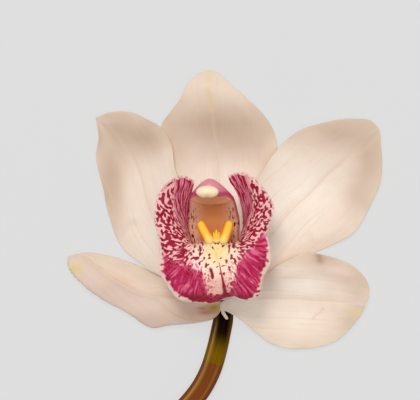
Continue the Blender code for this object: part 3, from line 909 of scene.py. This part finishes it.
def tubes(routes, flatness):
    """Rounded fleshy strips along routes, each a list of points as seen and the radii along it."""
    stations, sides = 60, 36
    all_points, all_faces, crown, foot = [], [], [], []
    count = 0
    places = np.linspace(0.0, 1.0, stations)
    angle = full_turn(sides)
    end_share = 0.16
    for route, radii in routes:
        path = from_seen(spline(route, places))
        forward = unit(np.gradient(path, axis=0))
        radius = smooth_interp(places, np.linspace(0.0, 1.0, len(radii)), radii)
        for from_end in (places, 1.0 - places):
            short = 1.0 - np.minimum(from_end / end_share, 1.0)
            radius = radius * np.sqrt(np.clip(1.0 - short**2, 0.02, 1.0))
        side = unit(np.cross(forward, (0.0, 0.0, 1.0)))
        top = np.cross(side, forward)
        rings = (
            path[:, None, :]
            + side[:, None, :] * (radius[:, None] * np.cos(angle)[None, :])[..., None]
            + top[:, None, :] * (flatness * radius[:, None] * np.sin(angle)[None, :])[..., None]
        )
        # crown marks each strip's upper side, where the keels take a painted highlight
        shades = {"crown": ease(0.5, 1.0, np.sin(angle)), "foot": ease(0.6, 1.05, places)[:, None]}
        points, faces, made = ring_body(rings, shades)
        all_points.append(points)
        all_faces += [[k + count for k in face] for face in faces]
        crown.append(made["crown"])
        foot.append(made["foot"])
        count += len(points)
    fields = {"crown": np.concatenate(crown), "foot": np.concatenate(foot)}
    return np.concatenate(all_points), all_faces, fields


def keels(finish):
    """The callus: two fleshy yellow keels that rise from the throat, with a small crest between them."""
    keel_radii = (1.25, 1.45, 1.5, 1.45, 1.2)
    left = [(-3.7, 4.1, 28.4), (-3.0, 2.5, 29.2), (-2.1, 0.8, 29.9), (-1.1, -1.0, 30.5), (-0.3, -2.6, 30.6)]
    right = [(5.3, 4.3, 28.4), (4.9, 2.6, 29.2), (4.3, 0.8, 29.9), (3.6, -1.0, 30.5), (3.0, -2.6, 30.6)]
    crest = [
        [(1.3, 1.7, 29.6), (1.3, 0.6, 30.1), (1.4, -2.4, 30.6)],
        [(0.4, 0.9, 29.7), (0.6, 0.2, 30.1), (1.1, -2.2, 30.6)],
        [(2.2, 1.0, 29.7), (2.0, 0.2, 30.1), (1.7, -2.2, 30.6)],
    ]
    routes = [(left, keel_radii), (right, keel_radii)] + [(spike, (0.3, 0.6, 1.0)) for spike in crest]
    return make_object("lip_keels", *tubes(routes, flatness=0.9), finish, "lip", [])


def strap_material():
    graph = Graph("strap_tissue", roughness=0.5, specular=0.28)
    graph.flesh(0.14, (1.0, 0.66, 0.46), 0.0010)
    grain = graph.noise(graph.place(), 900.0)
    colour = graph.mix(graph.step(grain, 0.4, 0.7), TEPAL_CREAM, TEPAL_BLUSH)
    return graph.finish(colour, graph.bump(grain, 0.00004, 0.5))


def base_strap(finish):
    """A narrow pale flap that hangs from the base of the right lateral sepal over the stalk."""
    route = [(2.9, -20.4, 8.6), (3.0, -22.0, 8.5), (3.5, -23.6, 8.0), (4.7, -25.3, 7.0)]
    strap = tubes([(route, (0.45, 0.55, 0.5, 0.5))], flatness=0.6)
    return make_object("base_strap", *strap, finish, "sepal", [])


# Column and its cap

COLUMN_TAN = linear(236, 184, 154)
COLUMN_BROWN = linear(226, 154, 98)
COLUMN_LEDGE = linear(236, 166, 122)
COLUMN_PINK = linear(222, 138, 146)
COLUMN_ROSE = linear(180, 44, 84)
COLUMN_DASH = linear(88, 14, 34)
CAP_CREAM = linear(254, 228, 192)
CAP_SHADE = linear(224, 196, 150)


def column_material():
    graph = Graph("column_tissue", roughness=0.42, specular=0.4)
    graph.flesh(0.15, (1.0, 0.5, 0.35), 0.0012)
    colour = graph.mix(graph.field("middle"), COLUMN_TAN, COLUMN_BROWN)
    colour = graph.tint(colour, "ledge", COLUMN_LEDGE)
    colour = graph.tint(colour, "hood", COLUMN_PINK)
    colour = graph.tint(colour, "rose", COLUMN_ROSE)
    dashes = graph.vector(graph.field("side_mm"), graph.times(graph.field("along_mm"), 0.24))
    specks = graph.noise(dashes, 1.9, detail=1.0)
    mask = graph.times(graph.step(specks, 0.565, 0.62), graph.field("dashes"))
    colour = graph.mix(mask, colour, COLUMN_DASH)
    cells = graph.noise(graph.place(), 2400.0)
    return graph.finish(colour, graph.bump(cells, 0.00004, 0.5))


def column(finish):
    """The fused column: rounded behind, hollow in front, arching over the throat to its hood, with a ledge
    below the cap. Its foot is slim, so that it stays within the lip's tube."""
    stations = 150
    back_sides = 60
    front_sides = 61
    wing_rise = 0.9
    ledge_rise = 1.0
    length_mm = 40.0
    back_roundness = 1.8
    places = np.linspace(0.0, 1.0, stations)
    path = [
        (2.7, -13.2, 9.6), (2.7, -13.1, 12.6), (2.4, -8.8, 15.6), (0.9, -1.4, 18.6), (0.4, 4.6, 22.4),
        (0.1, 9.4, 28.2), (-0.4, 11.9, 31.8), (-0.7, 12.5, 33.6), (-0.9, 12.4, 35.0),
    ]
    axis = spline(path, places)
    width_places = [0.0, 0.24, 0.42, 0.6, 0.78, 0.9, 0.96, 1.0]
    half_width = smooth_interp(places, width_places, [2.4, 2.5, 7.2, 7.6, 7.1, 6.7, 5.2, 3.0])
    depth_places = [0.0, 0.3, 0.6, 0.78, 0.9, 0.96, 1.0]
    depth = smooth_interp(places, depth_places, [2.4, 3.0, 3.6, 4.2, 5.2, 4.6, 2.8])
    hollow = smooth_interp(places, [0.0, 0.3, 0.6, 0.85, 1.0], [0.0, 0.6, 1.0, 0.4, 0.0])
    forward = unit(np.gradient(axis, axis=0))
    front = unit(np.cross(forward, (-1.0, 0.0, 0.0)))
    angle = np.linspace(0.0, math.pi, back_sides)
    share = np.linspace(-1.0, 1.0, front_sides)[1:-1]
    across = np.concatenate([np.cos(angle), share])[None, :]
    behind = -depth[:, None] * (1.0 - np.abs(np.cos(angle)[None, :]) ** back_roundness)
    rise = wing_rise - (wing_rise + hollow[:, None]) * (1.0 - share[None, :] ** 2)
    ledge_line = 0.80 + 0.11 * share[None, :] ** 2
    on_ledge = ease(-0.016, 0.004, places[:, None] - ledge_line)
    on_ledge = on_ledge * (1.0 - ease(0.92, 0.99, places[:, None])) * (1.0 - share[None, :] ** 6)
    rise = rise + ledge_rise * on_ledge
    out = np.concatenate([behind, rise], axis=1)
    rings = axis[:, None, :] + front[:, None, :] * out[..., None]
    rings[..., 0] += half_width[:, None] * across
    lower = hump(places, 0.58, 0.16)[:, None]
    rings[..., 0] += lower * np.where(across < 0.0, -0.6 * across**2, 0.35 * across**2)
    in_front = np.concatenate([np.zeros(back_sides), np.ones(front_sides - 2)])
    place = places[:, None]
    side = np.abs(across)
    fields = {
        "middle": in_front * (1.0 - ease(0.2, 0.8, side)),
        "ledge": np.concatenate([np.zeros((stations, back_sides)), on_ledge], axis=1),
        "hood": np.maximum(1.0 - in_front, ease(0.9, 0.96, place)),
        "rose": ease(0.86, 1.0, side) * (1.0 - 0.4 * ease(0.9, 1.0, place))
        + 0.35 * ease(0.5, 0.95, side) * (1.0 - in_front) * ease(0.6, 0.85, place),
        "side_mm": half_width[:, None] * across,
        "along_mm": length_mm * place,
        "dashes": in_front * ease(0.45, 0.8, side) * (1.0 - ease(0.72, 0.8, place)),
    }
    return make_object("column", *ring_body(from_seen(rings), fields), finish, "column", ["column"])


def cap_material():
    graph = Graph("cap_tissue", roughness=0.36, specular=0.42)
    graph.flesh(0.25, (1.0, 0.75, 0.5), 0.0012)
    # Painted shade on the cap's lower side
    colour = graph.mix(graph.field("shade"), CAP_CREAM, CAP_SHADE)
    grain = graph.noise(graph.place(), 900.0)
    return graph.finish(colour, graph.bump(grain, 0.00005, 0.5))


def anther_cap(finish):
    """The cream cap, two rounded lobes side by side, seated under the hood."""
    centre = np.array([-1.4, 12.9, 36.7])
    half_width, half_height, half_depth = 3.4, 1.9, 1.9
    stations, sides = 60, 96
    latitude = np.radians(np.linspace(-88.0, 88.0, stations))[:, None]
    angle = full_turn(sides)[None, :]
    x = half_width * np.cos(latitude) * np.cos(angle)
    y = half_height * np.cos(latitude) * np.sin(angle)
    cleft = hump(x, 0.0, 0.7)
    notch = 0.16 * cleft * (y < 0)
    dip = 0.1 * cleft * (np.sin(latitude) > 0) * ease(0.2, -1.4, y)
    z = half_depth * np.sin(latitude) - dip
    rings = centre + np.stack([x, y * (1.0 - notch), z], axis=2)
    # Painted shade, darker towards the cap's lower side
    fields = {"shade": ease(0.4, -1.8, y) * 0.8}
    cap = ring_body(from_seen(rings), fields)
    return make_object("anther_cap", *cap, finish, "anther_cap", ["anther_cap"])


# Stalk

STALK_PAINTED_SHADOW = linear(14, 4, 0)
STALK_UMBER = linear(92, 52, 4)
STALK_GREEN = linear(120, 88, 0)
STALK_BROWN = linear(122, 64, 26)
STALK_GRAIN_AND_SHADE = linear(60, 28, 8)
STALK_HIGHLIGHT = linear(176, 134, 66)
STALK_CUT = linear(196, 190, 130)
STALK_TOP = linear(226, 206, 180)


def stalk_material():
    """Ribbed waxy skin: near black below the bloom, where its upper side is painted shadow, then olive, then
    brown, with its sides darkened by painted shade and paler lines along it that are painted highlights.
    """
    graph = Graph("stalk_skin", roughness=0.5, specular=0.02)
    along = graph.field("along")
    # Near the bloom the upper side is painted shadow, near black, with umber sides
    upper = graph.mix(graph.step(graph.field("crown"), 0.35, 0.9), STALK_UMBER, STALK_PAINTED_SHADOW)
    colour = graph.mix(graph.step(along, 0.33, 0.47), upper, STALK_GREEN)
    colour = graph.mix(graph.step(along, 0.502, 0.514), colour, STALK_BROWN)
    # Painted shade on the sides and underside along the lower stretch
    colour = graph.tint(colour, "edge", STALK_GRAIN_AND_SHADE)
    lines = graph.vector(graph.times(graph.field("turn"), 22.0), graph.times(along, 3.0))
    grain = graph.noise(lines, 1.0, 3.0)
    # Darker grain lines along the ribs
    colour = graph.mix(graph.step(grain, 0.48, 0.75, 0.0, 0.35), colour, STALK_GRAIN_AND_SHADE)
    # Paler lines along the upper sides are painted highlights
    highlight_line = graph.times(graph.step(grain, 0.3, 0.55, 0.45, 1.0), graph.field("flank"))
    colour = graph.mix(highlight_line, colour, STALK_HIGHLIGHT)
    colour = graph.tint(colour, "cut", STALK_CUT)
    colour = graph.mix(graph.step(along, 0.10, 0.13, 1.0, 0.0), colour, STALK_TOP)
    return graph.finish(colour, graph.bump(grain, 0.0002, 0.5))


def flower_stalk(finish):
    """The ovary under the bloom, and the ribbed stalk that bends down from it and lies along the surface."""
    path = [
        (*APEX_CENTRE, APEX_TOP), (2.7, -14.9, 7.2), (2.75, -16.0, 4.5), (3.0, -20.2, 3.2),
        (3.4, -24.6, 3.1), (2.6, -29.3, 3.1), (1.35, -34.8, 3.2), (-0.4, -40.4, 3.3), (-3.0, -45.6, 3.3),
        (-6.8, -50.6, 3.3), (-11.6, -55.4, 3.3), (-17.0, -59.4, 3.3),
    ]
    stations = 260
    sides = 96
    ribs = 6
    places = np.linspace(0.0, 1.0, stations)
    axis = from_seen(spline(path, places))
    forward = unit(np.gradient(axis, axis=0))
    radii = [APEX_RADIUS, 4.8, 3.8, 3.0, 3.2, 3.3]
    radius = np.interp(places, [0.0, 0.05, 0.1, 0.16, 0.5, 1.0], radii)
    angle = full_turn(sides)
    # Where painted highlights run along the stalk's upper sides
    flank = 0.85 * hump(angle, 0.69 * math.pi, 0.17)[None, :] * ease(0.18, 0.42, places)[:, None]
    flank += 0.45 * hump(angle, 0.30 * math.pi, 0.12)[None, :] * ease(0.46, 0.56, places)[:, None]
    relief = 0.035 * np.cos(ribs * angle) - 0.02 * np.abs(np.cos(0.5 * ribs * angle)) ** 8
    rings = []
    side = np.array([1.0, 0.0, 0.0])
    for k in range(stations):
        side = unit(side - forward[k] * (side @ forward[k]))
        other = np.cross(forward[k], side)
        reach = radius[k] * (0.98 + relief)
        rings.append(
            axis[k] + np.outer(reach * np.cos(angle), side) + np.outer(reach * np.sin(angle), other)
        )
    rings = np.array(rings)
    fields = {
        "along": places[:, None],
        "turn": np.abs(angle / math.pi - 1.0),
        # The upper side, painted near black as shadow below the bloom
        "crown": np.clip(np.sin(angle), 0.0, 1.0),
        # Painted shade on the sides and underside along the lower stretch
        "edge": 0.8 * ease(0.45, 0.0, np.sin(angle)) * ease(0.4, 0.55, places)[:, None],
        "flank": flank,
        "cut": 1.0 * (places[:, None] == 1.0),
    }
    return make_object("flower_stalk", *ring_body(rings, fields), finish, "stalk", ["flower_stalk"])


# Stage, light and camera

FLOOR_GREY = linear(222, 222, 222)
FLOOR_PAINT = linear(96, 96, 96)
FLOOR_REACH = 1.6
FLOOR_INNER = 0.5
FLOOR_GLOW = 0.84
SWEEP_RADIUS = 0.8
WORLD_GREY = linear(223, 223, 223)
WORLD_GLOW = 0.40
LIGHT_AIM = (0.0, 0.0, 0.01)


def floor():
    """A plain pale floor that curves up all round into a wall, so that a low view has no horizon."""
    graph = Graph("floor_paint", roughness=0.9, specular=0.1)
    graph.finish(FLOOR_PAINT)
    graph.setting("Emission Color", (*FLOOR_GREY, 1.0))
    graph.setting("Emission Strength", FLOOR_GLOW)
    turns = 96
    angle = full_turn(turns)
    rise = np.linspace(0.0, 0.5 * math.pi, 13)
    radii = np.concatenate([[FLOOR_INNER, FLOOR_REACH], FLOOR_REACH + SWEEP_RADIUS * np.sin(rise[1:])])
    heights = np.concatenate([[0.0, 0.0], SWEEP_RADIUS * (1.0 - np.cos(rise[1:]))])
    around = (np.cos(angle), np.sin(angle))
    rings = [np.outer(radii, around[0]), np.outer(radii, around[1]), np.outer(heights, np.ones(turns))]
    points, faces, _ = ring_body(np.stack(rings, axis=2), {})
    # The wall is open at the top
    faces = [face for face in faces if len(points) - 1 not in face]
    mesh = bpy.data.meshes.new("floor")
    mesh.from_pydata(points[:-1].tolist(), [], faces)
    mesh.shade_smooth()
    mesh.materials.append(graph.material)
    plane = bpy.data.objects.new("floor", mesh)
    bpy.context.scene.collection.objects.link(plane)


def area_light(name, place, size, power):
    data = bpy.data.lights.new(name, "AREA")
    data.shape = "DISK"
    data.size = size
    data.energy = power
    lamp = bpy.data.objects.new(name, data)
    lamp.location = place
    direction = unit(np.array(LIGHT_AIM) - np.array(place))
    yaw = math.atan2(direction[1], direction[0])
    tilt = math.acos(-direction[2])
    lamp.rotation_euler = (tilt, 0.0, yaw - math.pi / 2)
    bpy.context.scene.collection.objects.link(lamp)


def world():
    made = bpy.data.worlds.new("studio")
    made.use_nodes = True
    background = made.node_tree.nodes["Background"]
    background.inputs["Color"].default_value = (*WORLD_GREY, 1.0)
    background.inputs["Strength"].default_value = WORLD_GLOW
    bpy.context.scene.world = made


def camera():
    data = bpy.data.cameras.new("camera")
    data.sensor_width = SENSOR_WIDTH
    data.lens = SENSOR_WIDTH * (EYE_HEIGHT - SEEN_PLANE) / VIEW_WIDTH
    data.clip_start = 0.01
    data.clip_end = 50.0
    made = bpy.data.objects.new("camera", data)
    made.location = ((SIGHT_AXIS[0] - ORIGIN[0]) * MM, (SIGHT_AXIS[1] - ORIGIN[1]) * MM, EYE_HEIGHT * MM)
    bpy.context.scene.collection.objects.link(made)
    bpy.context.scene.camera = made


def build():
    camera()
    world()
    floor()
    area_light("key", (-0.10, 0.34, 1.02), size=0.22, power=4.4)
    area_light("fill", (0.1, 0.1, 1.2), size=1.1, power=5.6)
    bpy.context.scene.view_settings.view_transform = "Standard"
    sepal = tepal_material("sepal_tissue", warmth=1.0)
    petal = tepal_material("petal_tissue", warmth=0.8)
    flower_stalk(stalk_material())
    dorsal_sepal(sepal)
    left_lateral_sepal(sepal)
    right_lateral_sepal(sepal)
    left_petal(petal)
    right_petal(petal)
    lip(lip_material())
    keels(keel_material())
    base_strap(strap_material())
    column(column_material())
    anther_cap(cap_material())


build()
